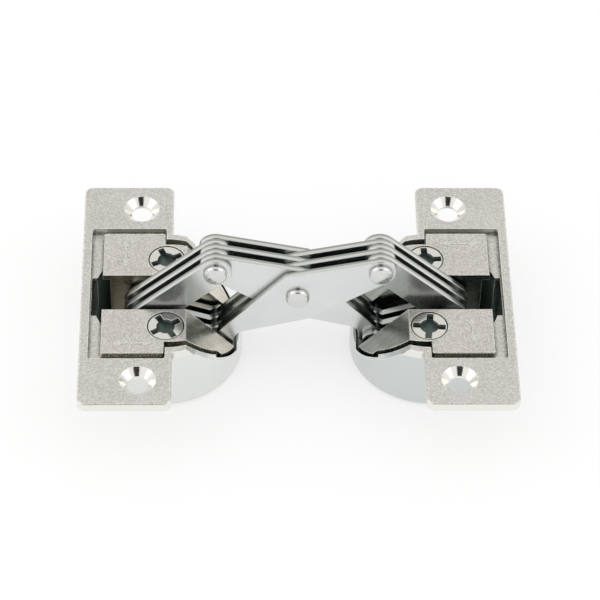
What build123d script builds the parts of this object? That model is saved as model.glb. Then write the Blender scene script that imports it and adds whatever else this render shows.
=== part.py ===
from build123d import *
from math import atan2, cos, degrees, hypot, radians, sin
import os

os.makedirs("parts", exist_ok=True)

# Concealed hinge for mitred panels, lying open on its two cups.
# X runs across both plates, Y along the pivots, Z up from the cup floors.
# The right half is the left half turned half a turn about Z.

# Housing, in millimetres
cup_radius = 20.0
cup_centre_x = -33.7
cup_floor = 1.3
plate_face = 20.0
plate_thickness = 2.5
plate_inner_x = -31.0
plate_width = 22.8
plate_length = 73.0
plate_corner = 2.0
plate_edge_break = 0.25
cup_rim_break = 0.6
shoulder_half_length = 18.75
mitre_x = -27.6
mitre_angle = 49.4

# Wood screw holes
screw_hole_x = -39.2
screw_hole_y = 28.75
screw_hole_radius = 2.65
countersink_radius = 4.45
countersink_angle = 90

# Pocket for the wings, and the well below it that holds the carrier with room to shift.
# At the nose the well steps out and ends in a flat wall.
pocket_left_x = -51.6
pocket_right_x = -32.7
pocket_half_length = 21.75
pocket_depth = 1.7
pocket_corner = 0.5
well_radius = 18.2
well_centre_x = -32.9
well_left_x = -51.3
well_left_half_width = 6.3
well_nose_radius = 18.9
well_nose_step_x = -20.2
well_nose_wall_x = -15.05

# Carrier, which holds the pins and can be shifted in the housing.
# Its wings lie on the pocket's floor, and its cheeks end in a wider nose.
wing_left_x = -48.6
wing_right_x = -32.95
wing_half_length = 20.15
wing_thickness = 1.68
wing_corner = 0.7
wing_edge_break = 0.15
carrier_radius = 16.3
carrier_centre_x = -31.6
carrier_left_x = -46.8
carrier_bottom = 1.35
carrier_floor_thickness = 1.65
channel_half_width = 5.75
nose_radius = 18.1
nose_half_width = 11.5
nose_step_x = -20.0
nose_front_x = -15.7

# Clamp screws of the carrier
clamp_x = -32.6
clamp_y = 11.2
clamp_head_radius = 4.5
clamp_head_height = 3.2
clamp_head_gap = 0.15
clamp_shank_gap = 0.06
clamp_sink = 0.1
clamp_shank_radius = 2.5
clamp_tip = 5.0
recess_depth = 2.0
recess_core_radius = 2.3
recess_slot_width = 1.6
recess_slot_length = 8.1
recess_turn = {"left_front": 32, "left_back": 24, "right_front": -6, "right_back": 4}

# Pivot places in the XZ plane, with the hinge fully open
centre_pivot = (0.0, plate_face + 3.7)
left_knuckle = (-20.3, plate_face + 12.2)
right_knuckle = (20.3, plate_face + 12.2)
arm_pivot = (-19.5, plate_face - 13.0)
link_pivot = (-39.17, plate_face - 5.66)

# Stack of six steel layers, counted from the front
layer_pitch = 1.64
steel_gauge = 1.6
layer_count = 6
edge_break = 0.14

# Pins and rivets
pin_radius = 1.6
pin_half_length = 9.0
running_gap = 0.05
pressed_gap = 0.01
open_pivot_gap = 0.45
rivet_head_radius = 2.95
rivet_rim_height = 1.35
rivet_dome_height = 0.45
rivet_shoulder_radius = 0.7
head_seat_gap = 0.02

# Outlines of the steel parts
knuckle_radius = 4.0
eye_radius = 3.6
arm_crown = (-3.1, plate_face + 10.8)
arm_crown_radius = 1.5
arm_belly = (3.4, plate_face - 4.35)
arm_belly_radius = 8.0
arm_throat = (-15.1, plate_face - 9.7)
arm_throat_radius = 3.0
arm_back_angle = 50.1
arm_back_distance = 2.67
arm_top_angle = 13.0
arm_bottom_angle = 34.3
spacer_eye_radius = 2.9
spacer_waist = 3.4

plate_centre_x = plate_inner_x - plate_width / 2
plate_underside = plate_face - plate_thickness
pocket_centre_x = (pocket_left_x + pocket_right_x) / 2
wing_centre_x = (wing_left_x + wing_right_x) / 2
carrier_floor_top = carrier_bottom + carrier_floor_thickness
stack_half = layer_count * layer_pitch / 2
clamp_head_face = plate_face - clamp_sink
clamp_head_seat = clamp_head_face - clamp_head_height
mitre_plane = Plane(
    origin=(mitre_x, 0, plate_face),
    z_dir=(sin(radians(mitre_angle)), 0, cos(radians(mitre_angle))),
)


def finish(builder, name):
    builder.part.label = name
    export_step(builder.part, f"parts/{name}.step")


def finish_turned(source, name):
    with BuildPart() as turned:
        add(source.part.rotate(Axis.Z, 180))
    finish(turned, name)


def shifted(point, distance, angle):
    return (
        point[0] + distance * cos(radians(angle)),
        point[1] + distance * sin(radians(angle)),
    )


def layer_back(layer):
    return stack_half - (layer_count - layer) * layer_pitch - (layer_pitch - steel_gauge) / 2


def span(start, end):
    middle = ((start[0] + end[0]) / 2, (start[1] + end[1]) / 2)
    length = hypot(end[0] - start[0], end[1] - start[1])
    angle = degrees(atan2(end[1] - start[1], end[0] - start[0]))
    return middle, length, angle


# Housing: screw plate and round cup, cut off along the mitre of the panel
with BuildPart() as left_housing:
    with BuildSketch(Plane.XY.offset(plate_underside)):
        with Locations((plate_centre_x, 0)):
            RectangleRounded(plate_width, plate_length, plate_corner)
        with Locations((mitre_x, 0)):
            Rectangle(4 * plate_thickness, 2 * shoulder_half_length)
    extrude(amount=plate_thickness)
    with BuildSketch(Plane.XY):
        with Locations((cup_centre_x, 0)):
            Circle(cup_radius)
    extrude(amount=plate_face)
    chamfer(left_housing.edges().group_by(Axis.Z)[0], cup_rim_break)
    split(bisect_by=mitre_plane, keep=Keep.BOTTOM)
    top_rim = left_housing.faces().sort_by(Axis.Z)[-1].outer_wire().edges()
    plate_rim = top_rim.filter_by_position(Axis.X, plate_inner_x - plate_width, plate_inner_x)
    chamfer(plate_rim, plate_edge_break)
    with BuildSketch(Plane.XY.offset(plate_face - pocket_depth)):
        with Locations((pocket_centre_x, 0)):
            RectangleRounded(pocket_right_x - pocket_left_x, 2 * pocket_half_length, pocket_corner)
    extrude(amount=pocket_depth, mode=Mode.SUBTRACT)
    with BuildSketch(Plane.XY.offset(cup_floor)):
        with Locations((well_centre_x, 0)):
            Circle(well_nose_radius)
        with Locations((well_nose_step_x - cup_radius, 0)):
            Rectangle(2 * cup_radius, 2 * cup_radius, mode=Mode.SUBTRACT)
        with Locations((well_centre_x, 0)):
            Circle(well_radius)
        with Locations(((well_left_x + well_centre_x) / 2, 0)):
            Rectangle(well_centre_x - well_left_x, 2 * well_left_half_width)
        with Locations((well_nose_wall_x + cup_radius, 0)):
            Rectangle(2 * cup_radius, 2 * cup_radius, mode=Mode.SUBTRACT)
    extrude(amount=plate_face, mode=Mode.SUBTRACT)
    with Locations((screw_hole_x, screw_hole_y, plate_face), (screw_hole_x, -screw_hole_y, plate_face)):
        CounterSinkHole(
            radius=screw_hole_radius,
            counter_sink_radius=countersink_radius,
            counter_sink_angle=countersink_angle,
        )
finish(left_housing, "left_housing")
finish_turned(left_housing, "right_housing")

# Carrier: two cheeks on a floor, a channel between them for the links, and a wing on each cheek
with BuildPart() as left_carrier:
    with BuildSketch(Plane.XY.offset(plate_face - wing_thickness)):
        with Locations((wing_centre_x, 0)):
            RectangleRounded(wing_right_x - wing_left_x, 2 * wing_half_length, wing_corner)
    extrude(amount=wing_thickness)
    chamfer(left_carrier.edges().group_by(Axis.Z)[-1], wing_edge_break)
    with BuildSketch(Plane.XY.offset(carrier_bottom)):
        with Locations((well_centre_x, 0)):
            Circle(nose_radius)
            Rectangle(3 * cup_radius, 2 * nose_half_width, mode=Mode.INTERSECT)
        with Locations((nose_step_x - cup_radius, 0)):
            Rectangle(2 * cup_radius, 2 * cup_radius, mode=Mode.SUBTRACT)
        with Locations((carrier_centre_x, 0)):
            Circle(carrier_radius)
        with Locations((carrier_left_x - cup_radius, 0), (nose_front_x + cup_radius, 0)):
            Rectangle(2 * cup_radius, 2 * cup_radius, mode=Mode.SUBTRACT)
    extrude(amount=plate_face - carrier_bottom)
    with BuildSketch(Plane.XY.offset(carrier_floor_top)):
        with Locations((well_centre_x, 0)):
            Rectangle(3 * cup_radius, 2 * channel_half_width)
    extrude(amount=plate_face, mode=Mode.SUBTRACT)
    split(bisect_by=mitre_plane, keep=Keep.BOTTOM)
    with Locations((clamp_x, clamp_y, plate_face), (clamp_x, -clamp_y, plate_face)):
        CounterBoreHole(
            radius=clamp_shank_radius + clamp_shank_gap,
            counter_bore_radius=clamp_head_radius + clamp_head_gap,
            counter_bore_depth=plate_face - clamp_head_seat,
            depth=plate_face - clamp_tip + clamp_head_gap,
        )
    with BuildSketch(Plane.XZ):
        with Locations(arm_pivot, link_pivot):
            Circle(pin_radius + pressed_gap)
    extrude(amount=pin_half_length, both=True, mode=Mode.SUBTRACT)
finish(left_carrier, "left_carrier")
finish_turned(left_carrier, "right_carrier")

# Clamp screws: flush head with a cross recess, each stopped at its own angle
for name, screw_place in (
    ("left_front", (clamp_x, -clamp_y)),
    ("left_back", (clamp_x, clamp_y)),
    ("right_front", (-clamp_x, -clamp_y)),
    ("right_back", (-clamp_x, clamp_y)),
):
    with BuildPart() as clamp_screw:
        with BuildSketch(Plane.XY.offset(clamp_tip)):
            with Locations(screw_place):
                Circle(clamp_shank_radius)
        extrude(amount=clamp_head_seat - clamp_tip)
        with BuildSketch(Plane.XY.offset(clamp_head_seat)):
            with Locations(screw_place):
                Circle(clamp_head_radius)
        extrude(amount=clamp_head_height)
        with BuildSketch(Plane.XY.offset(clamp_head_face)):
            with Locations(screw_place):
                Circle(recess_core_radius)
                Rectangle(recess_slot_width, recess_slot_length, rotation=recess_turn[name])
                Rectangle(recess_slot_length, recess_slot_width, rotation=recess_turn[name])
        extrude(amount=-recess_depth, mode=Mode.SUBTRACT)
    finish(clamp_screw, f"{name}_screw")


def arm_profile(centre_hole):
    back_foot = shifted(arm_pivot, arm_back_distance, arm_back_angle + 90)
    knuckle_top = shifted(right_knuckle, knuckle_radius, arm_top_angle + 90)
    knuckle_bottom = shifted(right_knuckle, knuckle_radius, arm_bottom_angle - 90)
    eye_side = shifted(arm_pivot, eye_radius, 0)
    with BuildSketch() as profile:
        with BuildLine():
            Polyline(
                knuckle_top, arm_crown, back_foot, arm_pivot, eye_side,
                arm_throat, arm_belly, knuckle_bottom, right_knuckle, close=True,
            )
        make_face()
        with Locations(right_knuckle):
            Circle(knuckle_radius)
        with Locations(arm_pivot):
            Circle(eye_radius)
        for corner, radius in (
            (arm_crown, arm_crown_radius),
            (arm_belly, arm_belly_radius),
            (arm_throat, arm_throat_radius),
        ):
            fillet(profile.vertices().sort_by_distance(corner)[0], radius)
        with Locations(centre_pivot):
            Circle(centre_hole, mode=Mode.SUBTRACT)
        with Locations(right_knuckle):
            Circle(pin_radius + pressed_gap, mode=Mode.SUBTRACT)
        with Locations(arm_pivot):
            Circle(pin_radius + running_gap, mode=Mode.SUBTRACT)
    return profile.sketch


def link_profile():
    middle, length, angle = span(link_pivot, left_knuckle)
    with BuildSketch() as profile:
        with Locations(middle):
            SlotCenterToCenter(length, 2 * knuckle_radius, rotation=angle)
        with Locations(left_knuckle):
            Circle(pin_radius + running_gap, mode=Mode.SUBTRACT)
        with Locations(link_pivot):
            Circle(pin_radius + open_pivot_gap, mode=Mode.SUBTRACT)
    return profile.sketch


def spacer_profile():
    middle, length, angle = span(link_pivot, arm_pivot)
    with BuildSketch() as profile:
        with Locations(middle):
            SlotCenterToCenter(length, spacer_waist, rotation=angle)
        with Locations(link_pivot, arm_pivot):
            Circle(spacer_eye_radius)
        with Locations(link_pivot, arm_pivot):
            Circle(pin_radius + pressed_gap, mode=Mode.SUBTRACT)
    return profile.sketch


def steel_plate(profile, layer, rim_break=0):
    with BuildPart() as plate:
        with BuildSketch(Plane.XZ.offset(-layer_back(layer))):
            add(profile)
        extrude(amount=steel_gauge)
        if rim_break:
            for face in (plate.faces().sort_by(Axis.Y)[0], plate.faces().sort_by(Axis.Y)[-1]):
                chamfer(face.outer_wire().edges(), rim_break)
    return plate


# Steel layers: odd layers hold the left arm and links, even layers the right ones.
# Turned half a turn, a layer n becomes layer 7 - n.
left_arm_profile = arm_profile(pin_radius + pressed_gap)
right_arm_profile = arm_profile(pin_radius + running_gap)
for number, layer in enumerate((1, 3, 5), start=1):
    finish(steel_plate(left_arm_profile, layer, edge_break), f"left_arm_plate_{number}")
    finish_turned(steel_plate(right_arm_profile, layer, edge_break), f"right_arm_plate_{4 - number}")
    link_plate = steel_plate(link_profile(), layer, edge_break)
    finish(link_plate, f"left_link_plate_{number}")
    finish_turned(link_plate, f"right_link_plate_{4 - number}")
    spacer_plate = steel_plate(spacer_profile(), layer + 1)
    finish(spacer_plate, f"left_spacer_{number}")
    finish_turned(spacer_plate, f"right_spacer_{4 - number}")

# Pins pressed into the cheeks of the carrier
for name, place in (("arm_pin", arm_pivot), ("link_pin", link_pivot)):
    with BuildPart() as pin:
        with BuildSketch(Plane.XZ):
            with Locations(place):
                Circle(pin_radius)
        extrude(amount=pin_half_length, both=True)
    finish(pin, f"left_{name}")
    finish_turned(pin, f"right_{name}")

# Rivets of the centre and the two knuckles, with round-shouldered, slightly domed heads
dome_sphere_radius = (rivet_head_radius**2 + rivet_dome_height**2) / (2 * rivet_dome_height)
head_seat = stack_half + head_seat_gap
rim_top = head_seat + rivet_rim_height
for name, place in (
    ("centre_rivet", centre_pivot),
    ("left_knuckle_rivet", left_knuckle),
    ("right_knuckle_rivet", right_knuckle),
):
    pivot_x, pivot_z = place
    with BuildPart() as rivet:
        with BuildSketch(Plane.XY.offset(pivot_z)) as rivet_section:
            with BuildLine():
                outline = Polyline(
                    (pivot_x, 0),
                    (pivot_x + pin_radius, 0),
                    (pivot_x + pin_radius, head_seat),
                    (pivot_x + rivet_head_radius, head_seat),
                    (pivot_x + rivet_head_radius, rim_top),
                )
                dome_top = (pivot_x, rim_top + rivet_dome_height)
                RadiusArc(outline @ 1, dome_top, -dome_sphere_radius)
                Line(dome_top, outline @ 0)
            make_face()
            shoulder = rivet_section.vertices().sort_by_distance(outline @ 1)[0]
            fillet(shoulder, rivet_shoulder_radius)
        revolve(axis=Axis((pivot_x, 0, pivot_z), (0, 1, 0)))
        mirror(about=Plane.XZ)
    finish(rivet, name)
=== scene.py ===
from math import cos, pi, radians, sin

import bpy
from mathutils import Matrix, Vector


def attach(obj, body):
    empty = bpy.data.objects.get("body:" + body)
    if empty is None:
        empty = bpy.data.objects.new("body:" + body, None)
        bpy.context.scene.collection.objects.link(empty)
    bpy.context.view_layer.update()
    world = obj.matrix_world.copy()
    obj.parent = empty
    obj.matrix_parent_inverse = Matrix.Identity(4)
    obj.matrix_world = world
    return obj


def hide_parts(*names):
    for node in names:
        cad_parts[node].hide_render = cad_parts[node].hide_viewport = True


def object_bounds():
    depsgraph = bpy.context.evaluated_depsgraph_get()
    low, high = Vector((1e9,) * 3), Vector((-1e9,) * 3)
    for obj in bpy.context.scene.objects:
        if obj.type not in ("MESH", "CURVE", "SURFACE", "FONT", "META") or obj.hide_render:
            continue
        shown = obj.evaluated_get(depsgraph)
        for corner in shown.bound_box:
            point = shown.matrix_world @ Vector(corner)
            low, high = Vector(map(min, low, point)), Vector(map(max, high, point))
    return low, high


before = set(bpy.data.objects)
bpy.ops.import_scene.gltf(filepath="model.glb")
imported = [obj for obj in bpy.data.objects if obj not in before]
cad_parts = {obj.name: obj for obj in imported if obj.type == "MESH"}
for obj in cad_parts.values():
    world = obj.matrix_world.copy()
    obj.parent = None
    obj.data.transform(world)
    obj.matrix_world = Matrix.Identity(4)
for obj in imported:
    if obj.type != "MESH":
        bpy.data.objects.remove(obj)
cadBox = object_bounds()
scene = bpy.context.scene
millimetre = 0.001
edgeSamples = 6        # rays that look for an edge
mergeDistance = 0.01   # mm, for the doubles that a mirror leaves
print("frame loaded,", len(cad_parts), "nodes")


def toLinear(hexColour):
    channels = [int(hexColour[i:i + 2], 16) / 255 for i in (1, 3, 5)]
    return [c / 12.92 if c <= 0.04045 else ((c + 0.055) / 1.055) ** 2.4 for c in channels] + [1.0]


def addNode(tree, kind, settings=None, links=None):
    node = tree.nodes.new(kind)
    for name, value in (settings or {}).items():
        if isinstance(name, int) or name in node.inputs:
            node.inputs[name].default_value = value
        else:
            setattr(node, name, value)
    for name, source in (links or {}).items():
        tree.links.new(source, node.inputs[name])
    return node


def startMaterial(name):
    material = bpy.data.materials.new(name)
    material.use_nodes = True
    tree = material.node_tree
    tree.nodes.clear()
    surface = addNode(tree, "ShaderNodeBsdfPrincipled", {"Metallic": 1.0})
    addNode(tree, "ShaderNodeOutputMaterial", {}, {"Surface": surface.outputs["BSDF"]})
    place = addNode(tree, "ShaderNodeTexCoord")
    return material, tree, surface, place


# Distances from the hinge's middle, which are the same in its four quarters
def foldToQuarter(tree, axes):
    x = addNode(tree, "ShaderNodeMath", {"operation": "ABSOLUTE"}, {0: axes.outputs["X"]})
    y = addNode(tree, "ShaderNodeMath", {"operation": "ABSOLUTE"}, {0: axes.outputs["Y"]})
    quarter = addNode(
        tree, "ShaderNodeCombineXYZ", {}, {"X": x.outputs[0], "Y": y.outputs[0]}
    )
    return x.outputs[0], y.outputs[0], quarter.outputs[0]


# Fine relief, over edges that the shading rounds a little
def addRelief(tree, surface, look, height, samples=edgeSamples):
    softEdge = addNode(
        tree, "ShaderNodeBevel", {"samples": samples, "Radius": look["edgeRound"] * millimetre}
    )
    relief = addNode(
        tree, "ShaderNodeBump",
        {"Strength": look["reliefStrength"], "Distance": look["reliefHeight"] * millimetre},
        {"Height": height, "Normal": softEdge.outputs["Normal"]},
    )
    tree.links.new(relief.outputs["Normal"], surface.inputs["Normal"])
    return relief


# Painted shade: corners and narrow gaps are darkened by an occlusion mask, a little speckled
creviceShading = {
    "samples": 8,
    "speckleFrom": 0.35,   # level of the grain pattern, from the full dark to the least
    "speckleTo": 0.55,
}


def paintCreviceShade(tree, look, grain, colour):
    openness = addNode(
        tree, "ShaderNodeAmbientOcclusion",
        {"samples": creviceShading["samples"], "Distance": look["creviceReach"] * millimetre},
    )
    shelter = addNode(
        tree, "ShaderNodeMapRange",
        {"From Min": look["creviceFrom"], "From Max": look["creviceTo"]},
        {"Value": openness.outputs["AO"]},
    )
    speckle = addNode(
        tree, "ShaderNodeMapRange",
        {"From Min": creviceShading["speckleFrom"], "From Max": creviceShading["speckleTo"],
         "To Min": 1.0, "To Max": 1 - look["creviceSpeckle"]},
        {"Value": grain},
    )
    share = addNode(
        tree, "ShaderNodeMath", {"operation": "MULTIPLY"},
        {0: shelter.outputs["Result"], 1: speckle.outputs["Result"]},
    )
    darkened = addNode(
        tree, "ShaderNodeMix", {"data_type": "RGBA", 7: toLinear(look["creviceShade"])},
        {0: share.outputs[0], 6: colour},
    )
    return darkened.outputs[2]


# Tumbling rubs the cast edges in small spots, which are painted near-white as a painted highlight.
# They lie where a widely rounded normal leaves the true one, but not in the inner corners, which
# nothing rubs.
edgeRubAndHighlight = {
    "turnFrom": 0.995,      # agreement of the two normals, from no wear to full wear
    "turnTo": 0.93,
    "openReach": 3.0,       # how far openness is felt, in widths of the worn edge
    "openFrom": 0.6,        # openness, from no wear to full wear
    "openTo": 0.9,
    "spotFrom": 0.35,       # level of the grain pattern, from between the spots to on them
    "spotTo": 0.5,
    "betweenSpots": 0.25,   # share of the wear there
}


def rubEdgesAndPaintHighlight(tree, surface, look, grain, colour, roughness):
    geometry = addNode(tree, "ShaderNodeNewGeometry")
    wideEdge = addNode(
        tree, "ShaderNodeBevel", {"samples": edgeSamples, "Radius": look["wornWidth"] * millimetre}
    )
    turned = addNode(
        tree, "ShaderNodeVectorMath", {"operation": "DOT_PRODUCT"},
        {0: wideEdge.outputs["Normal"], 1: geometry.outputs["True Normal"]},
    )
    edge = addNode(
        tree, "ShaderNodeMapRange",
        {"From Min": edgeRubAndHighlight["turnFrom"], "From Max": edgeRubAndHighlight["turnTo"]},
        {"Value": turned.outputs["Value"]},
    )
    openness = addNode(
        tree, "ShaderNodeAmbientOcclusion",
        {"samples": edgeSamples, "Distance": edgeRubAndHighlight["openReach"] * look["wornWidth"] * millimetre},
    )
    rubbed = addNode(
        tree, "ShaderNodeMapRange",
        {"From Min": edgeRubAndHighlight["openFrom"], "From Max": edgeRubAndHighlight["openTo"]},
        {"Value": openness.outputs["AO"]},
    )
    spots = addNode(
        tree, "ShaderNodeMapRange",
        {"From Min": edgeRubAndHighlight["spotFrom"], "From Max": edgeRubAndHighlight["spotTo"],
         "To Min": edgeRubAndHighlight["betweenSpots"]},
        {"Value": grain},
    )
    openEdge = addNode(
        tree, "ShaderNodeMath", {"operation": "MULTIPLY"},
        {0: edge.outputs["Result"], 1: rubbed.outputs["Result"]},
    )
    wornAndHighlight = addNode(
        tree, "ShaderNodeMath", {"operation": "MULTIPLY"},
        {0: openEdge.outputs[0], 1: spots.outputs["Result"]},
    )
    wornColour = addNode(
        tree, "ShaderNodeMix", {"data_type": "RGBA", 7: toLinear(look["wornAndHighlight"])},
        {0: wornAndHighlight.outputs[0], 6: colour},
    )
    wornRoughness = addNode(
        tree, "ShaderNodeMix", {"data_type": "FLOAT", 3: look["wornRoughness"]},
        {0: wornAndHighlight.outputs[0], 2: roughness},
    )
    tree.links.new(wornColour.outputs[2], surface.inputs["Base Color"])
    tree.links.new(wornRoughness.outputs[0], surface.inputs["Roughness"])


# What tumbling and satin nickel give both castings: a fine pebbled grain and rubbed edges,
# with painted shade in the corners and a painted highlight on the edges
castSkin = {
    "grain": 0.42,            # mm, one pebble
    "grainDetail": 2.0,
    "grainRoughness": 0.6,
    "cloudShare": 0.12,       # share of the slow change of tone
    "toneFrom": 0.3,          # level of the pattern, from the full shade to the full light
    "toneTo": 0.7,
    "roughness": 0.38,
    "roughSpread": 0.06,
    "reliefStrength": 0.8,
    "reliefHeight": 0.05,     # mm
    # painted shade in the corners
    "creviceShade": "#55584a",
    "creviceReach": 1.2,      # mm, how far out of a corner the painted shade reaches
    "creviceFrom": 0.9,       # openness at which it starts, of 1 on an open face
    "creviceTo": 0.55,
    "creviceSpeckle": 0.5,
    # near-white on the rubbed edges: wear, and a painted highlight
    "wornAndHighlight": "#fffdf6",
    "wornWidth": 0.35,        # mm
    "wornRoughness": 0.6,
}


def makeCastSkin(tree, look, place):
    grain = addNode(
        tree, "ShaderNodeTexNoise",
        {"Scale": 1 / (look["grain"] * millimetre),
         "Detail": look["grainDetail"], "Roughness": look["grainRoughness"]},
        {"Vector": place.outputs["Object"]},
    )
    cloud = addNode(
        tree, "ShaderNodeTexNoise", {"Scale": 1 / (look["cloud"] * millimetre)},
        {"Vector": place.outputs["Object"]},
    )
    tone = addNode(
        tree, "ShaderNodeMix", {"data_type": "FLOAT", 0: look["cloudShare"]},
        {2: grain.outputs["Fac"], 3: cloud.outputs["Fac"]},
    )
    spread = addNode(
        tree, "ShaderNodeMapRange", {"From Min": look["toneFrom"], "From Max": look["toneTo"]},
        {"Value": tone.outputs[0]},
    )
    colour = addNode(
        tree, "ShaderNodeMix",
        {"data_type": "RGBA", 6: toLinear(look["shade"]), 7: toLinear(look["light"])},
        {0: spread.outputs["Result"]},
    )
    roughness = addNode(
        tree, "ShaderNodeMapRange",
        {"To Min": look["roughness"] - look["roughSpread"],
         "To Max": look["roughness"] + look["roughSpread"]},
        {"Value": grain.outputs["Fac"]},
    )
    return grain.outputs["Fac"], colour.outputs[2], roughness.outputs["Result"]


# Zinc die casting, tumbled and plated with satin nickel: a warm grey with a fine pebbled grain.
# The cup is turned smoother below the plate, the countersinks are cut bright,
# and the inside of the well is painted darker and less metallic, as painted shade.
dieCast = {
    **castSkin,
    "light": "#e9e7e2",
    "shade": "#bebbb3",
    "cloud": 9.0,              # mm, one cloud of lighter or darker tone
    "edgeRound": 0.12,         # mm
    "rim": "#eeede8",          # the plate's upright rim, painted lighter as a painted reflection of the bright floor
    "rimFrom": 0.6,            # upward share of the normal, from no rim to full rim
    "rimTo": 0.2,
    # painted shade on the pocket's walls
    "pocketWallShade": "#6a6656",
    "pocketHalfWidth": 20.0,   # mm along the pivots, holds the pocket and not the plate's ends
    "pocketInnerX": 32.5,      # mm from the middle of the hinge to the pocket's two long sides
    "pocketOuterX": 52.4,
    "pocketBottom": 18.0,      # mm above the cup's underside
    "wallFrom": 0.42,          # level of the grain pattern, from the full dark to the least
    "wallTo": 0.58,
    "wallLeast": 0.15,
    "cup": "#e6e8e6",
    "rightCupShade": "#d2d7d6",     # painted shade: the right cup darker, as it reflects a darker floor
    "cupFrom": 17.5,           # mm, the plate's underside
    "cupTo": 17.2,
    "cupRoughness": 0.2,
    "well": "#74897f",
    "wellMetallic": 0.35,      # lower in the well, part of its painted shade
    "wellCentre": 32.9,        # mm from the middle of the hinge
    "wellRadiusFrom": 18.45,   # mm, from outside the well to in it
    "wellRadiusTo": 18.25,
    "wellDepthFrom": 17.8,     # mm above the cup's underside, from no dark to full dark
    "wellDepthTo": 14.0,
    "wellBottom": 0.5,
    "countersink": "#e8e6e0",
    "countersinkX": 39.2,      # mm from the middle of the hinge
    "countersinkY": 28.75,
    "countersinkFrom": 4.47,   # mm, from outside the countersink to in it
    "countersinkTo": 4.4,
    "countersinkRoughness": 0.13,
}


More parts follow.
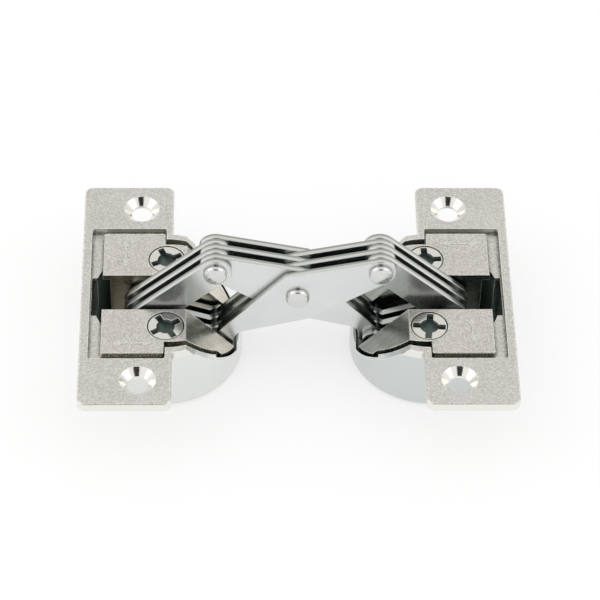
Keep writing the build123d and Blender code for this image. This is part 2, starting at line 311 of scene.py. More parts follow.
def makeDieCast():
    look = dieCast
    material, tree, surface, place = startMaterial("satinNickelOnZincCasting")
    axes = addNode(tree, "ShaderNodeSeparateXYZ", {}, {"Vector": place.outputs["Object"]})
    facing = addNode(tree, "ShaderNodeSeparateXYZ", {}, {"Vector": place.outputs["Normal"]})
    x, y, quarter = foldToQuarter(tree, axes)
    grain, skin, skinRoughness = makeCastSkin(tree, look, place)

    # 1 on upright faces, which get a painted light, lighter as if reflecting the floor
    rimZone = addNode(
        tree, "ShaderNodeMapRange", {"From Min": look["rimFrom"], "From Max": look["rimTo"]},
        {"Value": facing.outputs["Z"]},
    )
    rimPaintedShading = addNode(
        tree, "ShaderNodeMix", {"data_type": "RGBA", 7: toLinear(look["rim"])},
        {0: rimZone.outputs["Result"], 6: skin},
    )

    # 1 on the pocket's walls, which get a painted shade, speckled by the grain
    wallSpeckle = addNode(
        tree, "ShaderNodeMapRange",
        {"From Min": look["wallFrom"], "From Max": look["wallTo"],
         "To Min": 1.0, "To Max": look["wallLeast"]},
        {"Value": grain},
    )
    wallShare = addNode(
        tree, "ShaderNodeMath", {"operation": "MULTIPLY"},
        {0: rimZone.outputs["Result"], 1: wallSpeckle.outputs["Result"]},
    )
    for distance, side, limit in (
        (x, "GREATER_THAN", "pocketInnerX"), (x, "LESS_THAN", "pocketOuterX"),
        (y, "LESS_THAN", "pocketHalfWidth"), (axes.outputs["Z"], "GREATER_THAN", "pocketBottom"),
    ):
        within = addNode(
            tree, "ShaderNodeMath", {"operation": side, 1: look[limit] * millimetre}, {0: distance}
        )
        wallShare = addNode(
            tree, "ShaderNodeMath", {"operation": "MULTIPLY"},
            {0: wallShare.outputs[0], 1: within.outputs[0]},
        )
    wallShaded = addNode(
        tree, "ShaderNodeMix", {"data_type": "RGBA", 7: toLinear(look["pocketWallShade"])},
        {0: wallShare.outputs[0], 6: rimPaintedShading.outputs[2]},
    )

    # 1 below the plate's underside, where the cup is smooth
    cupZone = addNode(
        tree, "ShaderNodeMapRange",
        {"From Min": look["cupFrom"] * millimetre, "From Max": look["cupTo"] * millimetre},
        {"Value": axes.outputs["Z"]},
    )
    # painted shade: the right cup is darker than the left
    onRight = addNode(
        tree, "ShaderNodeMath", {"operation": "GREATER_THAN", 1: 0.0}, {0: axes.outputs["X"]}
    )
    cupToneShaded = addNode(
        tree, "ShaderNodeMix",
        {"data_type": "RGBA", 6: toLinear(look["cup"]), 7: toLinear(look["rightCupShade"])},
        {0: onRight.outputs[0]},
    )
    cupped = addNode(
        tree, "ShaderNodeMix", {"data_type": "RGBA"},
        {0: cupZone.outputs["Result"], 6: wallShaded.outputs[2], 7: cupToneShaded.outputs[2]},
    )

    # 1 inside the well, under the plate's face and above the cup's floor
    acrossHalf = addNode(tree, "ShaderNodeCombineXYZ", {}, {"X": x, "Y": axes.outputs["Y"]})
    wellReach = addNode(
        tree, "ShaderNodeVectorMath",
        {"operation": "DISTANCE", 1: (look["wellCentre"] * millimetre, 0, 0)},
        {0: acrossHalf.outputs[0]},
    )
    inWell = addNode(
        tree, "ShaderNodeMapRange",
        {"From Min": look["wellRadiusFrom"] * millimetre,
         "From Max": look["wellRadiusTo"] * millimetre},
        {"Value": wellReach.outputs["Value"]},
    )
    underFace = addNode(
        tree, "ShaderNodeMapRange",
        {"From Min": look["wellDepthFrom"] * millimetre,
         "From Max": look["wellDepthTo"] * millimetre},
        {"Value": axes.outputs["Z"]},
    )
    aboveBottom = addNode(
        tree, "ShaderNodeMath", {"operation": "GREATER_THAN", 1: look["wellBottom"] * millimetre},
        {0: axes.outputs["Z"]},
    )
    betweenBoth = addNode(
        tree, "ShaderNodeMath", {"operation": "MULTIPLY"},
        {0: underFace.outputs["Result"], 1: aboveBottom.outputs[0]},
    )
    wellShadeZone = addNode(
        tree, "ShaderNodeMath", {"operation": "MULTIPLY"},
        {0: inWell.outputs["Result"], 1: betweenBoth.outputs[0]},
    )
    # painted shade: the well's inside darker and less metallic
    colour = addNode(
        tree, "ShaderNodeMix", {"data_type": "RGBA", 7: toLinear(look["well"])},
        {0: wellShadeZone.outputs[0], 6: cupped.outputs[2]},
    )
    metallic = addNode(
        tree, "ShaderNodeMapRange", {"To Min": 1.0, "To Max": look["wellMetallic"]},
        {"Value": wellShadeZone.outputs[0]},
    )
    tree.links.new(metallic.outputs["Result"], surface.inputs["Metallic"])

    # 1 in the countersinks, which are cut bright and keep out of the painted shade of the corners
    holeReach = addNode(
        tree, "ShaderNodeVectorMath",
        {"operation": "DISTANCE",
         1: (look["countersinkX"] * millimetre, look["countersinkY"] * millimetre, 0)},
        {0: quarter},
    )
    inHole = addNode(
        tree, "ShaderNodeMapRange",
        {"From Min": look["countersinkFrom"] * millimetre,
         "From Max": look["countersinkTo"] * millimetre},
        {"Value": holeReach.outputs["Value"]},
    )
    holed = addNode(
        tree, "ShaderNodeMix", {"data_type": "RGBA", 7: toLinear(look["countersink"])},
        {0: inHole.outputs["Result"], 6: paintCreviceShade(tree, look, grain, colour.outputs[2])},
    )
    cupRoughness = addNode(
        tree, "ShaderNodeMix", {"data_type": "FLOAT", 3: look["cupRoughness"]},
        {0: cupZone.outputs["Result"], 2: skinRoughness},
    )
    roughness = addNode(
        tree, "ShaderNodeMix", {"data_type": "FLOAT", 3: look["countersinkRoughness"]},
        {0: inHole.outputs["Result"], 2: cupRoughness.outputs[0]},
    )
    # rubbed edges, with a painted highlight
    rubEdgesAndPaintHighlight(tree, surface, look, grain, holed.outputs[2], roughness.outputs[0])

    # no pebbles on the turned cup and in the countersinks
    smooth = addNode(
        tree, "ShaderNodeMath", {"operation": "MAXIMUM"},
        {0: inHole.outputs["Result"], 1: cupZone.outputs["Result"]},
    )
    height = addNode(
        tree, "ShaderNodeMath", {"operation": "SUBTRACT", "use_clamp": True},
        {0: grain, 1: smooth.outputs[0]},
    )
    addRelief(tree, surface, look, height.outputs[0])
    return material


# The carrier is cast and plated as the housing is, then milled on the slope and in the channel,
# which leaves fine lines and a browner metal. Its darker tones are painted shade.
carrierCast = {
    **castSkin,
    "light": "#eae8e2",
    "shade": "#b8b5ac",
    "cloud": 8.0,            # mm
    "edgeRound": 0.2,        # mm
    "milledLight": "#fff5e6",
    "milledDark": "#eee3d4",
    "shadedMilledLight": "#b3b5ac",  # painted shade: the right carrier's milled faces darker
    "shadedMilledDark": "#8b9087",
    "milledShadeFrom": -20.0,       # mm: painted shade on the left slope, growing towards its screw
    "milledShadeTo": -26.5,
    "slopeFacing": 0.65,     # upward share of the slope's normal
    "slopeTolerance": 0.15,
    "milledFrom": 0.95,      # upward share of the normal, from the cast top to milled faces
    "milledTo": 0.85,
    "millLine": 0.16,        # mm between cutter marks, drawn as coarse as it needs to show
    "millLength": 6.0,       # mm along a mark
    "millTurn": -40.0,       # degrees
    "millDetail": 3.0,
    "millFrom": 0.38,        # level of the marks, from the full dark to the full light
    "millTo": 0.62,
    "milledRoughness": 0.27,
    "milledSpread": 0.08,
    "milledRelief": 0.25,
    "wave": 3.0,             # mm, unevenness that clouds the reflections
    "waveShare": 6.0,        # its height against that of the cutter marks
    "wingSideShade": "#5c5d50",   # cast sides of the wings, painted dark as painted shade
    "wingFrom": 19.0,        # mm from the middle, past the cheeks and the nose
    "sideFrom": 0.8,         # sideways share of the normal, from no side to full side
    "sideTo": 0.95,
    "sideDarkFrom": 0.4,     # level of the grain pattern, from the full dark to the least
    "sideDarkTo": 0.62,
    "sideDarkLeast": 0.3,
    "deep": "#747d77",       # painted shade towards the bottom of the channel
    "deepFrom": 16.0,        # mm
    "deepTo": 3.0,
    "deepShare": 0.75,
}


def makeCarrierCast():
    look = carrierCast
    material, tree, surface, place = startMaterial("satinNickelOnMilledCasting")
    axes = addNode(tree, "ShaderNodeSeparateXYZ", {}, {"Vector": place.outputs["Object"]})
    facing = addNode(tree, "ShaderNodeSeparateXYZ", {}, {"Vector": place.outputs["Normal"]})
    grain, skin, skinRoughness = makeCastSkin(tree, look, place)

    # cutter marks
    along, across = 1 / (look["millLength"] * millimetre), 1 / (look["millLine"] * millimetre)
    stretched = addNode(
        tree, "ShaderNodeMapping",
        {"Scale": (along, across, along), "Rotation": (0, 0, radians(look["millTurn"]))},
        {"Vector": place.outputs["Object"]},
    )
    marks = addNode(
        tree, "ShaderNodeTexNoise", {"Scale": 1.0, "Detail": look["millDetail"]},
        {"Vector": stretched.outputs["Vector"]},
    )
    marksSpread = addNode(
        tree, "ShaderNodeMapRange", {"From Min": look["millFrom"], "From Max": look["millTo"]},
        {"Value": marks.outputs["Fac"]},
    )
    # milled tones, and a painted shade of them for the right carrier and the left slope near its
    # screw
    bright, shadedMilled = (
        addNode(
            tree, "ShaderNodeMix",
            {"data_type": "RGBA", 6: toLinear(look[dark]), 7: toLinear(look[light])},
            {0: marksSpread.outputs["Result"]},
        )
        for dark, light in (("milledDark", "milledLight"), ("shadedMilledDark", "shadedMilledLight"))
    )
    onRight = addNode(
        tree, "ShaderNodeMath", {"operation": "GREATER_THAN", 1: 0.0}, {0: axes.outputs["X"]}
    )
    onSlope = addNode(
        tree, "ShaderNodeMath",
        {"operation": "COMPARE", 1: look["slopeFacing"], 2: look["slopeTolerance"]},
        {0: facing.outputs["Z"]},
    )
    towardsScrew = addNode(
        tree, "ShaderNodeMapRange",
        {"From Min": look["milledShadeFrom"] * millimetre, "From Max": look["milledShadeTo"] * millimetre},
        {"Value": axes.outputs["X"]},
    )
    milledShadeShare = addNode(
        tree, "ShaderNodeMath", {"operation": "MULTIPLY_ADD", "use_clamp": True},
        {0: onSlope.outputs[0], 1: towardsScrew.outputs["Result"], 2: onRight.outputs[0]},
    )
    milled = addNode(
        tree, "ShaderNodeMix", {"data_type": "RGBA"},
        {0: milledShadeShare.outputs[0], 6: bright.outputs[2], 7: shadedMilled.outputs[2]},
    )

    # 1 on faces that don't look straight up
    milledZone = addNode(
        tree, "ShaderNodeMapRange", {"From Min": look["milledFrom"], "From Max": look["milledTo"]},
        {"Value": facing.outputs["Z"]},
    )
    outer = addNode(
        tree, "ShaderNodeMix", {"data_type": "RGBA"},
        {0: milledZone.outputs["Result"], 6: skin, 7: milled.outputs[2]},
    )

    # 1 on the wings' sides, which get a painted shade, speckled by the grain
    distanceY = addNode(
        tree, "ShaderNodeMath", {"operation": "ABSOLUTE"}, {0: axes.outputs["Y"]}
    )
    onWing = addNode(
        tree, "ShaderNodeMath", {"operation": "GREATER_THAN", 1: look["wingFrom"] * millimetre},
        {0: distanceY.outputs[0]},
    )
    facingY = addNode(
        tree, "ShaderNodeMath", {"operation": "ABSOLUTE"}, {0: facing.outputs["Y"]}
    )
    sideways = addNode(
        tree, "ShaderNodeMapRange", {"From Min": look["sideFrom"], "From Max": look["sideTo"]},
        {"Value": facingY.outputs[0]},
    )
    sideSpeckle = addNode(
        tree, "ShaderNodeMapRange",
        {"From Min": look["sideDarkFrom"], "From Max": look["sideDarkTo"],
         "To Min": 1.0, "To Max": look["sideDarkLeast"]},
        {"Value": grain},
    )
    sideZone = addNode(
        tree, "ShaderNodeMath", {"operation": "MULTIPLY"},
        {0: sideways.outputs["Result"], 1: onWing.outputs[0]},
    )
    sideShare = addNode(
        tree, "ShaderNodeMath", {"operation": "MULTIPLY"},
        {0: sideZone.outputs[0], 1: sideSpeckle.outputs["Result"]},
    )
    sided = addNode(
        tree, "ShaderNodeMix", {"data_type": "RGBA", 7: toLinear(look["wingSideShade"])},
        {0: sideShare.outputs[0], 6: outer.outputs[2]},
    )

    # painted shade: darker towards the bottom of the channel
    depth = addNode(
        tree, "ShaderNodeMapRange",
        {"From Min": look["deepFrom"] * millimetre, "From Max": look["deepTo"] * millimetre,
         "To Max": look["deepShare"]},
        {"Value": axes.outputs["Z"]},
    )
    inside = addNode(
        tree, "ShaderNodeMath", {"operation": "MULTIPLY"},
        {0: depth.outputs["Result"], 1: milledZone.outputs["Result"]},
    )
    colour = addNode(
        tree, "ShaderNodeMix", {"data_type": "RGBA", 7: toLinear(look["deep"])},
        {0: inside.outputs[0], 6: sided.outputs[2]},
    )
    milledRoughness = addNode(
        tree, "ShaderNodeMapRange",
        {"To Min": look["milledRoughness"] - look["milledSpread"],
         "To Max": look["milledRoughness"] + look["milledSpread"]},
        {"Value": marks.outputs["Fac"]},
    )
    roughness = addNode(
        tree, "ShaderNodeMix", {"data_type": "FLOAT"},
        {0: milledZone.outputs["Result"], 2: skinRoughness, 3: milledRoughness.outputs["Result"]},
    )
    # painted shade in the corners, and a painted highlight on the rubbed edges
    darkened = paintCreviceShade(tree, look, grain, colour.outputs[2])
    rubEdgesAndPaintHighlight(tree, surface, look, grain, darkened, roughness.outputs[0])

    # pebbles on the cast top, cutter marks and waves on the milled faces
    waves = addNode(
        tree, "ShaderNodeTexNoise", {"Scale": 1 / (look["wave"] * millimetre)},
        {"Vector": place.outputs["Object"]},
    )
    wavyMarks = addNode(
        tree, "ShaderNodeMath", {"operation": "MULTIPLY_ADD", 1: look["waveShare"]},
        {0: waves.outputs["Fac"], 2: marks.outputs["Fac"]},
    )
    height = addNode(
        tree, "ShaderNodeMix", {"data_type": "FLOAT"},
        {0: milledZone.outputs["Result"], 2: grain, 3: wavyMarks.outputs[0]},
    )
    relief = addRelief(tree, surface, look, height.outputs[0])
    strength = addNode(
        tree, "ShaderNodeMapRange",
        {"To Min": look["reliefStrength"], "To Max": look["milledRelief"]},
        {"Value": milledZone.outputs["Result"]},
    )
    tree.links.new(strength.outputs["Result"], relief.inputs["Strength"])
    return material


# Blanked steel plates, nickel plated and polished on their faces, with a duller sheared edge
linkSteel = {
    "face": "#e4e6e6",
    "faceShade": "#d6d8d8",
    "smear": 9.0,            # mm, slow unevenness of the polish
    "smearDetail": 1.0,
    "faceRoughness": 0.27,
    "faceSpread": 0.02,
    "edgeFrom": 0.97,        # sideways share of the normal, from the face to the cut edge
    "edgeTo": 0.8,
    "sheared": "#dcdcd7",    # the smooth part of the cut edge
    "torn": "#a8aaa4",       # its duller rest
    "tornFrom": 0.45,        # shares of the thickness between which the dull part starts
    "tornTo": 0.6,
    "edgeRoughness": 0.24,
    "stackFront": -4.92,     # mm, front of the first layer
    "layerPitch": 1.64,      # mm
    "footShade": "#39433f",       # painted shade on the edges of the arms' feet, deep in the channel
    "footFrom": 15.0,        # mm above the cup floor
    "footTo": 11.5,
    "edgeRound": 0.1,        # mm
    "reliefStrength": 0.1,
    "reliefHeight": 0.02,    # mm
    # painted shade in the gaps between the plates
    "creviceShade": "#8fa098",
    "creviceReach": 4.0,     # mm
    "creviceFrom": 0.5,
    "creviceTo": 0.2,
    "creviceSpeckle": 0.1,
}
# The spacers between them aren't polished and lie deep in the channels
spacerSteel = {
    **linkSteel,
    "face": "#c3c7c2",
    "faceShade": "#b4b9b3",
    "faceRoughness": 0.35,
    "footShade": "#c3c7c2",
    # painted shade in the gaps, darker on the spacers
    "creviceShade": "#39433f",
    "creviceFrom": 0.75,
    "creviceTo": 0.35,
}


def makePlateSteel(name, look):
    material, tree, surface, place = startMaterial(name)
    axes = addNode(tree, "ShaderNodeSeparateXYZ", {}, {"Vector": place.outputs["Object"]})
    facing = addNode(tree, "ShaderNodeSeparateXYZ", {}, {"Vector": place.outputs["Normal"]})
    sideways = addNode(
        tree, "ShaderNodeMath", {"operation": "ABSOLUTE"}, {0: facing.outputs["Y"]}
    )
    edgeZone = addNode(
        tree, "ShaderNodeMapRange", {"From Min": look["edgeFrom"], "From Max": look["edgeTo"]},
        {"Value": sideways.outputs[0]},
    )
    smear = addNode(
        tree, "ShaderNodeTexNoise",
        {"Scale": 1 / (look["smear"] * millimetre), "Detail": look["smearDetail"]},
        {"Vector": place.outputs["Object"]},
    )
    face = addNode(
        tree, "ShaderNodeMix",
        {"data_type": "RGBA", 6: toLinear(look["faceShade"]), 7: toLinear(look["face"])},
        {0: smear.outputs["Fac"]},
    )

    # across one layer of the stack, from 0 at its front to 1 at its back
    fromFront = addNode(
        tree, "ShaderNodeMath", {"operation": "SUBTRACT", 1: look["stackFront"] * millimetre},
        {0: axes.outputs["Y"]},
    )
    layers = addNode(
        tree, "ShaderNodeMath", {"operation": "DIVIDE", 1: look["layerPitch"] * millimetre},
        {0: fromFront.outputs[0]},
    )
    across = addNode(tree, "ShaderNodeMath", {"operation": "FRACT"}, {0: layers.outputs[0]})
    torn = addNode(
        tree, "ShaderNodeMapRange", {"From Min": look["tornFrom"], "From Max": look["tornTo"]},
        {"Value": across.outputs[0]},
    )
    edge = addNode(
        tree, "ShaderNodeMix",
        {"data_type": "RGBA", 6: toLinear(look["sheared"]), 7: toLinear(look["torn"])},
        {0: torn.outputs["Result"]},
    )
    # painted shade on the edges low in the channel
    footZone = addNode(
        tree, "ShaderNodeMapRange",
        {"From Min": look["footFrom"] * millimetre, "From Max": look["footTo"] * millimetre},
        {"Value": axes.outputs["Z"]},
    )
    footShaded = addNode(
        tree, "ShaderNodeMix", {"data_type": "RGBA", 7: toLinear(look["footShade"])},
        {0: footZone.outputs["Result"], 6: edge.outputs[2]},
    )
    colour = addNode(
        tree, "ShaderNodeMix", {"data_type": "RGBA"},
        {0: edgeZone.outputs["Result"], 6: face.outputs[2], 7: footShaded.outputs[2]},
    )
    # painted shade in the gaps between the plates
    darkened = paintCreviceShade(tree, look, smear.outputs["Fac"], colour.outputs[2])
    tree.links.new(darkened, surface.inputs["Base Color"])

    faceRoughness = addNode(
        tree, "ShaderNodeMapRange",
        {"To Min": look["faceRoughness"] - look["faceSpread"],
         "To Max": look["faceRoughness"] + look["faceSpread"]},
        {"Value": smear.outputs["Fac"]},
    )
    roughness = addNode(
        tree, "ShaderNodeMix", {"data_type": "FLOAT", 3: look["edgeRoughness"]},
        {0: edgeZone.outputs["Result"], 2: faceRoughness.outputs["Result"]},
    )
    tree.links.new(roughness.outputs[0], surface.inputs["Roughness"])
    addRelief(tree, surface, look, smear.outputs["Fac"])
    return material


# Rivets and pins: bright nickel on steel, almost a mirror, with faint marks of the riveting tool
rivetSteel = {
    "base": "#d8d9d6",
    "mark": 1.1,              # mm, size of a tool mark
    "markDetail": 2.0,
    "roughnessFrom": 0.11,
    "roughnessTo": 0.23,
    "edgeRound": 0.15,        # mm
    "reliefStrength": 0.06,
    "reliefHeight": 0.03,     # mm
    # painted shade where a head meets the plate
    "creviceShade": "#4a4d47",
    "creviceReach": 0.4,      # mm
    "creviceFrom": 0.8,
    "creviceTo": 0.4,
    "creviceSpeckle": 0.1,
}


def makeRivetSteel():
    look = rivetSteel
    material, tree, surface, place = startMaterial("brightNickelOnRivet")
    marks = addNode(
        tree, "ShaderNodeTexNoise",
        {"Scale": 1 / (look["mark"] * millimetre), "Detail": look["markDetail"]},
        {"Vector": place.outputs["Object"]},
    )
    base = addNode(tree, "ShaderNodeRGB")
    base.outputs[0].default_value = toLinear(look["base"])
    # painted shade where a head meets the plate
    darkened = paintCreviceShade(tree, look, marks.outputs["Fac"], base.outputs[0])
    tree.links.new(darkened, surface.inputs["Base Color"])
    roughness = addNode(
        tree, "ShaderNodeMapRange",
        {"To Min": look["roughnessFrom"], "To Max": look["roughnessTo"]},
        {"Value": marks.outputs["Fac"]},
    )
    tree.links.new(roughness.outputs["Result"], surface.inputs["Roughness"])
    addRelief(tree, surface, look, marks.outputs["Fac"])
    return material


# Clamp screws: zinc-plated steel. The cross recess is painted a dark green-grey and less metallic,
# as painted shade.
screwSteel = {
    "head": "#e6e4dd",
    "centreX": 32.6,          # mm from the middle of the hinge
    "centreY": 11.2,
    "turnLine": 0.2,          # mm between turning marks
    "roughness": 0.2,
    "rim": "#5a5648",         # painted shade: a thin dark ring at the head's edge, next to the gap
    "rimFrom": 4.2,           # mm
    "rimTo": 4.42,
    "recess": "#56635f",
    "recessFrom": 19.65,      # mm above the cup floor, from the head's face to the recess
    "recessTo": 19.0,
    "recessMetallic": 0.5,    # lower in the recess, part of its painted shade
    "recessRoughness": 0.3,
    "edgeRound": 0.25,        # mm, round of the recess's rim
    "reliefStrength": 0.1,
    "reliefHeight": 0.01,     # mm
}


def makeScrewSteel():
    look = screwSteel
    material, tree, surface, place = startMaterial("zincPlatedScrewSteel")
    axes = addNode(tree, "ShaderNodeSeparateXYZ", {}, {"Vector": place.outputs["Object"]})
    quarter = foldToQuarter(tree, axes)[2]
    reach = addNode(
        tree, "ShaderNodeVectorMath",
        {"operation": "DISTANCE",
         1: (look["centreX"] * millimetre, look["centreY"] * millimetre, 0)},
        {0: quarter},
    )
    # painted shade in the cross recess
    recessZone = addNode(
        tree, "ShaderNodeMapRange",
        {"From Min": look["recessFrom"] * millimetre, "From Max": look["recessTo"] * millimetre},
        {"Value": axes.outputs["Z"]},
    )
    colour = addNode(
        tree, "ShaderNodeMix",
        {"data_type": "RGBA", 6: toLinear(look["head"]), 7: toLinear(look["recess"])},
        {0: recessZone.outputs["Result"]},
    )
    # painted shade: a dark ring next to the gap
    rimZone = addNode(
        tree, "ShaderNodeMapRange",
        {"From Min": look["rimFrom"] * millimetre, "From Max": look["rimTo"] * millimetre},
        {"Value": reach.outputs["Value"]},
    )
    rimPaintedShading = addNode(
        tree, "ShaderNodeMix", {"data_type": "RGBA", 7: toLinear(look["rim"])},
        {0: rimZone.outputs["Result"], 6: colour.outputs[2]},
    )
    tree.links.new(rimPaintedShading.outputs[2], surface.inputs["Base Color"])
    metallic = addNode(
        tree, "ShaderNodeMapRange", {"To Min": 1.0, "To Max": look["recessMetallic"]},
        {"Value": recessZone.outputs["Result"]},
    )
    tree.links.new(metallic.outputs["Result"], surface.inputs["Metallic"])
    roughness = addNode(
        tree, "ShaderNodeMix",
        {"data_type": "FLOAT", 2: look["roughness"], 3: look["recessRoughness"]},
        {0: recessZone.outputs["Result"]},
    )
    tree.links.new(roughness.outputs[0], surface.inputs["Roughness"])
    # rings left by the lathe
    rings = addNode(
        tree, "ShaderNodeMath",
        {"operation": "MULTIPLY", 1: 2 * pi / (look["turnLine"] * millimetre)},
        {0: reach.outputs["Value"]},
    )
    wave = addNode(tree, "ShaderNodeMath", {"operation": "SINE"}, {0: rings.outputs[0]})
    addRelief(tree, surface, look, wave.outputs[0])
    return material


# The arrows are cast with the wing as a low relief. Rubbing leaves them a little smoother
# than the skin.
arrowMark = {
    "wornAndHighlight": "#f4f2ec",
    "hollow": "#c8c5bd",
    "grain": 0.42,            # mm
    "grainDetail": 2.0,
    "toneFrom": 0.3,
    "toneTo": 0.7,
    "roughness": 0.26,
    "edgeRound": 0.06,        # mm
    "edgeSamples": 4,
    "reliefStrength": 0.5,
    "reliefHeight": 0.04,     # mm
}


def makeArrowMark():
    look = arrowMark
    material, tree, surface, place = startMaterial("rubbedReliefOnCasting")
    grain = addNode(
        tree, "ShaderNodeTexNoise",
        {"Scale": 1 / (look["grain"] * millimetre), "Detail": look["grainDetail"]},
        {"Vector": place.outputs["Object"]},
    )
    spread = addNode(
        tree, "ShaderNodeMapRange", {"From Min": look["toneFrom"], "From Max": look["toneTo"]},
        {"Value": grain.outputs["Fac"]},
    )
    colour = addNode(
        tree, "ShaderNodeMix",
        {"data_type": "RGBA", 6: toLinear(look["hollow"]), 7: toLinear(look["wornAndHighlight"])},
        {0: spread.outputs["Result"]},
    )
    tree.links.new(colour.outputs[2], surface.inputs["Base Color"])
    surface.inputs["Roughness"].default_value = look["roughness"]
    addRelief(tree, surface, look, grain.outputs["Fac"], look["edgeSamples"])
    return material


rivetMaterial = makeRivetSteel()
arrowMaterial = makeArrowMark()
nodeMaterials = {   # by a word in the node's name
    "housing": makeDieCast(),
    "carrier": makeCarrierCast(),
    "plate": makePlateSteel("polishedNickelOnSteelPlate", linkSteel),
    "spacer": makePlateSteel("nickelOnBlankedSteelSpacer", spacerSteel),
    "rivet": rivetMaterial,
    "pin": rivetMaterial,
    "screw": makeScrewSteel(),
}
print("materials made")

for name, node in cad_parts.items():
    word = next(word for word in nodeMaterials if word in name)
    node.data.materials.clear()
    node.data.materials.append(nodeMaterials[word])
print("materials set on the packed nodes")


# Leaves the chosen vertices or faces selected, in edit mode
def selectParts(piece, kind, chosen):
    bpy.ops.object.mode_set(mode="EDIT")
    bpy.ops.mesh.select_mode(type=kind)
    bpy.ops.mesh.select_all(action="DESELECT")
    bpy.ops.object.mode_set(mode="OBJECT")
    for part in piece.data.polygons if kind == "FACE" else piece.data.vertices:
        part.select = chosen(part)
    bpy.ops.object.mode_set(mode="EDIT")


def turnFacesOutwards():
    bpy.ops.object.mode_set(mode="EDIT")
    bpy.ops.mesh.select_all(action="SELECT")
    bpy.ops.mesh.normals_make_consistent(inside=False)
    bpy.ops.object.mode_set(mode="OBJECT")


def applyPlace():
    bpy.ops.object.transform_apply(location=True, rotation=True, scale=True)


def reportPiece(piece):
    size = [round(side / millimetre, 2) for side in piece.dimensions]
    print("made", piece.name, "mm", size, "faces", len(piece.data.polygons))


# Rivets: the CAD heads with fuller, rounder shoulders
rivet = {
    "headRadius": 2.95,       # mm
    "headSeat": 4.94,         # from the middle of the stack to the underside of a head
    "headHeight": 1.5,        # without its crown
    "shoulder": 1.15,
    "shoulderSegments": 10,
    "crown": 0.28,
    "crownRings": 4,
    "shankRadius": 1.6,
    "sides": 96,
    "capFacing": 0.9,         # share of the normal that counts as a cap's
    "topFacing": 0.999,       # the same for the flat top inside the shoulder
    "topArea": 0.01,          # mm2, larger than a face of the shoulder
    "smoothAngle": 40.0,      # degrees
}
rivetPlaces = (
    {"node": "centre_rivet", "name": "centreRivet", "body": "left_arm", "x": 0.0, "z": 23.7},
    {"node": "left_knuckle_rivet", "name": "leftKnuckleRivet", "body": "right_arm",
     "x": -20.3, "z": 32.2},
    {"node": "right_knuckle_rivet", "name": "rightKnuckleRivet", "body": "left_arm",
     "x": 20.3, "z": 32.2},
)


def makeRivet():
    headMiddle = (rivet["headSeat"] + rivet["headHeight"] / 2) * millimetre
    bpy.ops.object.select_all(action="DESELECT")
    bpy.ops.mesh.primitive_cylinder_add(
        vertices=rivet["sides"], radius=rivet["headRadius"] * millimetre,
        depth=rivet["headHeight"] * millimetre, location=(0, -headMiddle, 0),
        rotation=(pi / 2, 0, 0),
    )
    piece = bpy.context.object
    applyPlace()
    # front rim rolled over to the shoulder
    selectParts(piece, "FACE", lambda face: face.normal.y < -rivet["capFacing"])
    bpy.ops.mesh.bevel(
        offset=rivet["shoulder"] * millimetre, segments=rivet["shoulderSegments"],
        affect="EDGES", clamp_overlap=True,
    )
    # crown raised in rings, as a shallow dome
    crownRadius = (rivet["headRadius"] - rivet["shoulder"]) * millimetre
    steps = rivet["crownRings"] + 1
    for ring in range(rivet["crownRings"]):
        selectParts(
            piece, "FACE",
            lambda face: face.normal.y < -rivet["topFacing"]
            and face.area > rivet["topArea"] * millimetre ** 2,
        )
        bpy.ops.mesh.inset(thickness=crownRadius / steps)
        outer, inner = 1 - ring / steps, 1 - (ring + 1) / steps
        lift = rivet["crown"] * millimetre * (outer ** 2 - inner ** 2)
        bpy.ops.transform.translate(value=(0, -lift, 0))
    # shank drawn to the middle of the stack
    selectParts(piece, "FACE", lambda face: face.normal.y > rivet["capFacing"])
    bpy.ops.mesh.inset(thickness=(rivet["headRadius"] - rivet["shankRadius"]) * millimetre)
    bpy.ops.mesh.extrude_region_move(
        TRANSFORM_OT_translate={"value": (0, rivet["headSeat"] * millimetre, 0)}
    )
    bpy.ops.mesh.delete(type="FACE")
    bpy.ops.object.mode_set(mode="OBJECT")
    mirror = piece.modifiers.new("otherHead", "MIRROR")
    mirror.use_axis = (False, True, False)
    mirror.merge_threshold = mergeDistance * millimetre
    bpy.ops.object.modifier_apply(modifier="otherHead")
    turnFacesOutwards()
    bpy.ops.object.shade_smooth_by_angle(angle=radians(rivet["smoothAngle"]))
    piece.data.materials.append(rivetMaterial)
    return piece


# the first one goes to the last place, once its copies are made
firstRivet = makeRivet()
for place in rivetPlaces:
    bpy.ops.object.select_all(action="DESELECT")
    bpy.context.view_layer.objects.active = firstRivet
    firstRivet.select_set(True)
    if place is not rivetPlaces[-1]:
        bpy.ops.object.duplicate()
    piece = bpy.context.object
    piece.name = place["name"]
    piece.location = (place["x"] * millimetre, 0, place["z"] * millimetre)
    applyPlace()
    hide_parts(place["node"])
    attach(piece, place["body"])
    reportPiece(piece)

# Signs on the wings: a double-headed arrow along each way that the carrier can be shifted
arrow = {
    "headLength": 2.7,        # mm
    "headWidth": 1.95,        # the shaft is a third of it
    "height": 0.09,           # above the wing
    "sunk": 0.03,             # into the wing, so that no gap shows
    "rim": 0.06,
    "rimSegments": 2,
    "wingTop": 20.0,
    "reach": 0.1,             # within which a vertex belongs to a head's base
}
arrowPlaces = (
    {"name": "leftFrontArrow", "body": "left_carrier", "centre": (-40.85, -16.8),
     "length": 10.9, "turn": 0.0},
    {"name": "leftBackArrow", "body": "left_carrier", "centre": (-43.0, 13.4),
     "length": 9.6, "turn": 90.0},
    {"name": "rightBackArrow", "body": "right_carrier", "centre": (41.45, 16.6),
     "length": 10.7, "turn": 0.0},
    {"name": "rightFrontArrow", "body": "right_carrier", "centre": (43.3, -12.5),
     "length": 8.9, "turn": 90.0},
)


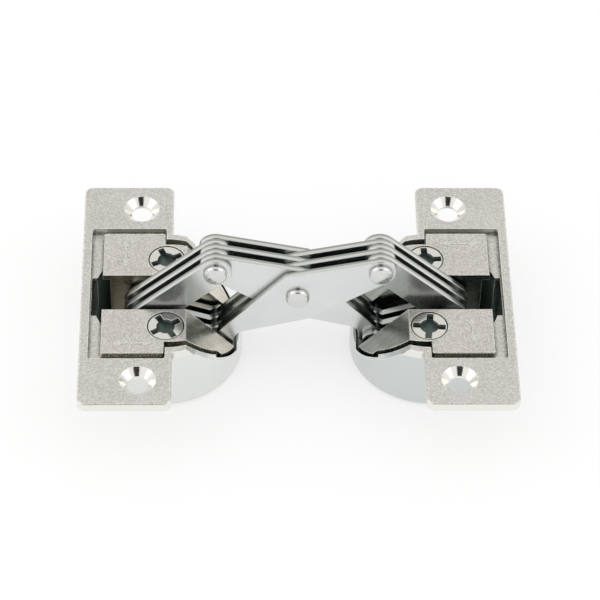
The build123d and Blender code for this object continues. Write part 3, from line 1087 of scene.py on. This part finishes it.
def makeArrow(sign):
    # a triangle for one head, its base cut in three, and the middle third drawn out
    # to the arrow's middle
    heightShare, sideShare = 1.5, 3 ** 0.5   # of the radius of an equal-sided triangle
    radius = arrow["headLength"] * millimetre / heightShare
    shaftHalf = (sign["length"] / 2 - arrow["headLength"]) * millimetre
    baseEnd = shaftHalf + arrow["reach"] * millimetre
    middleThird = arrow["headWidth"] / 4 * millimetre   # past its vertices, short of the corners
    bpy.ops.object.select_all(action="DESELECT")
    bpy.ops.mesh.primitive_circle_add(
        vertices=3, radius=radius, fill_type="NGON", rotation=(0, 0, -pi / 2)
    )
    piece = bpy.context.object
    piece.name = sign["name"]
    applyPlace()
    piece.scale = (1, arrow["headWidth"] * millimetre / (sideShare * radius), 1)
    piece.location = (shaftHalf + radius / 2, 0, 0)
    applyPlace()
    selectParts(piece, "VERT", lambda vertex: vertex.co.x < baseEnd)
    bpy.ops.mesh.subdivide(number_cuts=2)
    selectParts(
        piece, "VERT", lambda vertex: vertex.co.x < baseEnd and abs(vertex.co.y) < middleThird
    )
    bpy.ops.mesh.extrude_region_move(TRANSFORM_OT_translate={"value": (-shaftHalf, 0, 0)})
    bpy.ops.object.mode_set(mode="OBJECT")
    mirror = piece.modifiers.new("otherHalf", "MIRROR")
    mirror.merge_threshold = mergeDistance * millimetre
    body = piece.modifiers.new("body", "SOLIDIFY")
    body.thickness = (arrow["height"] + arrow["sunk"]) * millimetre
    body.offset = 1.0
    rim = piece.modifiers.new("rim", "BEVEL")
    rim.width = arrow["rim"] * millimetre
    rim.segments = arrow["rimSegments"]
    for modifier in ("otherHalf", "body", "rim"):
        bpy.ops.object.modifier_apply(modifier=modifier)
    x, y = sign["centre"]
    piece.location = (
        x * millimetre, y * millimetre, (arrow["wingTop"] - arrow["sunk"]) * millimetre
    )
    piece.rotation_euler = (0, 0, radians(sign["turn"]))
    applyPlace()
    turnFacesOutwards()
    piece.data.materials.append(arrowMaterial)
    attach(piece, sign["body"])
    return piece


for sign in arrowPlaces:
    reportPiece(makeArrow(sign))

# Floor
floor = {
    "size": 12.0,         # m
    "below": 0.02,        # mm under the cups, so that the two surfaces don't coincide
    "colour": "#fbfbfa",
    "whiteShare": 0.6,    # lightens the shadow as seen
}
bpy.ops.object.select_all(action="DESELECT")
bpy.ops.mesh.primitive_plane_add(
    size=floor["size"], location=(0, 0, cadBox[0].z - floor["below"] * millimetre)
)
floorPiece = bpy.context.object
floorPiece.name = "floor"
floorMaterial = bpy.data.materials.new("matteStudioFloor")
floorMaterial.use_nodes = True
floorTree = floorMaterial.node_tree
floorTree.nodes.clear()
floorRays = addNode(floorTree, "ShaderNodeLightPath")
seenDirectly = addNode(
    floorTree, "ShaderNodeMath", {"operation": "MAXIMUM"},
    {0: floorRays.outputs["Is Camera Ray"], 1: floorRays.outputs["Is Glossy Ray"]},
)
seen = addNode(
    floorTree, "ShaderNodeMath", {"operation": "MAXIMUM"},
    {0: seenDirectly.outputs[0], 1: floorRays.outputs["Is Transmission Ray"]},
)
whiteShare = addNode(
    floorTree, "ShaderNodeMath", {"operation": "MULTIPLY", 1: floor["whiteShare"]},
    {0: seen.outputs[0]},
)
matte = addNode(floorTree, "ShaderNodeBsdfDiffuse", {"Color": toLinear(floor["colour"])})
white = addNode(floorTree, "ShaderNodeEmission", {"Color": (1, 1, 1, 1), "Strength": 1.0})
floorTop = addNode(
    floorTree, "ShaderNodeMixShader", {},
    {0: whiteShare.outputs[0], 1: matte.outputs[0], 2: white.outputs[0]},
)
# from below the floor is clear, so that the cups' undersides can be looked at
floorSide = addNode(floorTree, "ShaderNodeNewGeometry")
clear = addNode(floorTree, "ShaderNodeBsdfTransparent")
bothSides = addNode(
    floorTree, "ShaderNodeMixShader", {},
    {0: floorSide.outputs["Backfacing"], 1: floorTop.outputs[0], 2: clear.outputs[0]},
)
addNode(floorTree, "ShaderNodeOutputMaterial", {}, {"Surface": bothSides.outputs[0]})
floorPiece.data.materials.append(floorMaterial)
print("floor made")

# Lamps, which face the hinge
softboxes = (
    {"name": "leftSoftbox", "place": (-0.9, -0.1, 0.8), "size": 0.8, "watts": 1.6},
    {"name": "rightSoftbox", "place": (0.9, -0.2, 0.8), "size": 0.8, "watts": 1.2},
)
for box in softboxes:
    bpy.ops.object.light_add(type="AREA", location=box["place"])
    lamp = bpy.context.object
    lamp.name = box["name"]
    lamp.data.size = box["size"]
    lamp.data.energy = box["watts"]
    lamp.rotation_mode = "QUATERNION"
    lamp.rotation_quaternion = Vector(box["place"]).to_track_quat("Z", "Y")

# A white tent, a little dimmer at the back, which the upward faces reflect
tent = {"front": 1.0, "back": 0.84, "backFrom": 0.2, "backTo": 0.6}
world = bpy.data.worlds.new("studioWorld")
scene.world = world
world.use_nodes = True
worldTree = world.node_tree
worldTree.nodes.clear()
rays = addNode(worldTree, "ShaderNodeLightPath")
direction = addNode(worldTree, "ShaderNodeTexCoord")
directionAxes = addNode(
    worldTree, "ShaderNodeSeparateXYZ", {}, {"Vector": direction.outputs["Generated"]}
)
tentStrength = addNode(
    worldTree, "ShaderNodeMapRange",
    {"From Min": tent["backFrom"], "From Max": tent["backTo"],
     "To Min": tent["front"], "To Max": tent["back"]},
    {"Value": directionAxes.outputs["Y"]},
)
skyStrength = addNode(
    worldTree, "ShaderNodeMix", {"data_type": "FLOAT", 3: 1.0},
    {0: rays.outputs["Is Camera Ray"], 2: tentStrength.outputs["Result"]},
)
sky = addNode(
    worldTree, "ShaderNodeBackground", {"Color": (1, 1, 1, 1)},
    {"Strength": skyStrength.outputs[0]},
)
addNode(worldTree, "ShaderNodeOutputWorld", {}, {"Surface": sky.outputs[0]})
print("lamps and world made")


# From the hinge towards a place round it, in degrees from the front and above the floor
def directionTo(azimuth, elevation):
    turn, rise = radians(azimuth), radians(elevation)
    return Vector((sin(turn) * cos(rise), -cos(turn) * cos(rise), sin(rise)))


# A dark card round the camera, seen only in reflections: it draws the narrow dark streaks
card = {"size": 0.38, "distance": 0.72, "azimuth": 3.0, "elevation": 48.0, "colour": "#1c1e1d"}
cardPlace = card["distance"] * directionTo(card["azimuth"], card["elevation"])
bpy.ops.object.select_all(action="DESELECT")
bpy.ops.mesh.primitive_plane_add(
    size=card["size"], location=cardPlace, rotation=cardPlace.to_track_quat("Z", "Y").to_euler()
)
cardPiece = bpy.context.object
cardPiece.name = "darkCard"
cardPiece.visible_camera = False
cardPiece.visible_diffuse = False
cardPiece.visible_shadow = False
cardMaterial = bpy.data.materials.new("blackVelvetCard")
cardMaterial.use_nodes = True
velvet = cardMaterial.node_tree.nodes["Principled BSDF"]
velvet.inputs["Base Color"].default_value = toLinear(card["colour"])
velvet.inputs["Roughness"].default_value = 1.0
cardPiece.data.materials.append(cardMaterial)
print("dark card made")

# Camera at the photograph's place
photoCamera = {
    "azimuth": -2.083,                       # degrees
    "elevation": 48.0,
    "roll": 1.506,
    "distance": 0.73377,                     # m
    "target": (0.00072, -0.00262, 0.02),
    "focalPixels": 2945.6,
    "imageSize": 600,                        # pixels
    "sensorWidth": 36.0,                     # mm
}
back = directionTo(photoCamera["azimuth"], photoCamera["elevation"])
right = (-back).cross(Vector((0, 0, 1))).normalized()
up = right.cross(-back)
roll = radians(photoCamera["roll"])
tiltedRight = cos(roll) * right + sin(roll) * up
tiltedUp = cos(roll) * up - sin(roll) * right
focalShare = photoCamera["focalPixels"] / photoCamera["imageSize"]
bpy.ops.object.camera_add(
    location=Vector(photoCamera["target"]) + back * photoCamera["distance"]
)
camera = bpy.context.object
camera.name = "photoCamera"
camera.rotation_mode = "QUATERNION"
camera.rotation_quaternion = Matrix((tiltedRight, tiltedUp, back)).transposed().to_quaternion()
camera.data.sensor_width = photoCamera["sensorWidth"]
camera.data.lens = focalShare * photoCamera["sensorWidth"]
scene.camera = camera
scene.view_settings.view_transform = "Standard"
print("camera made")
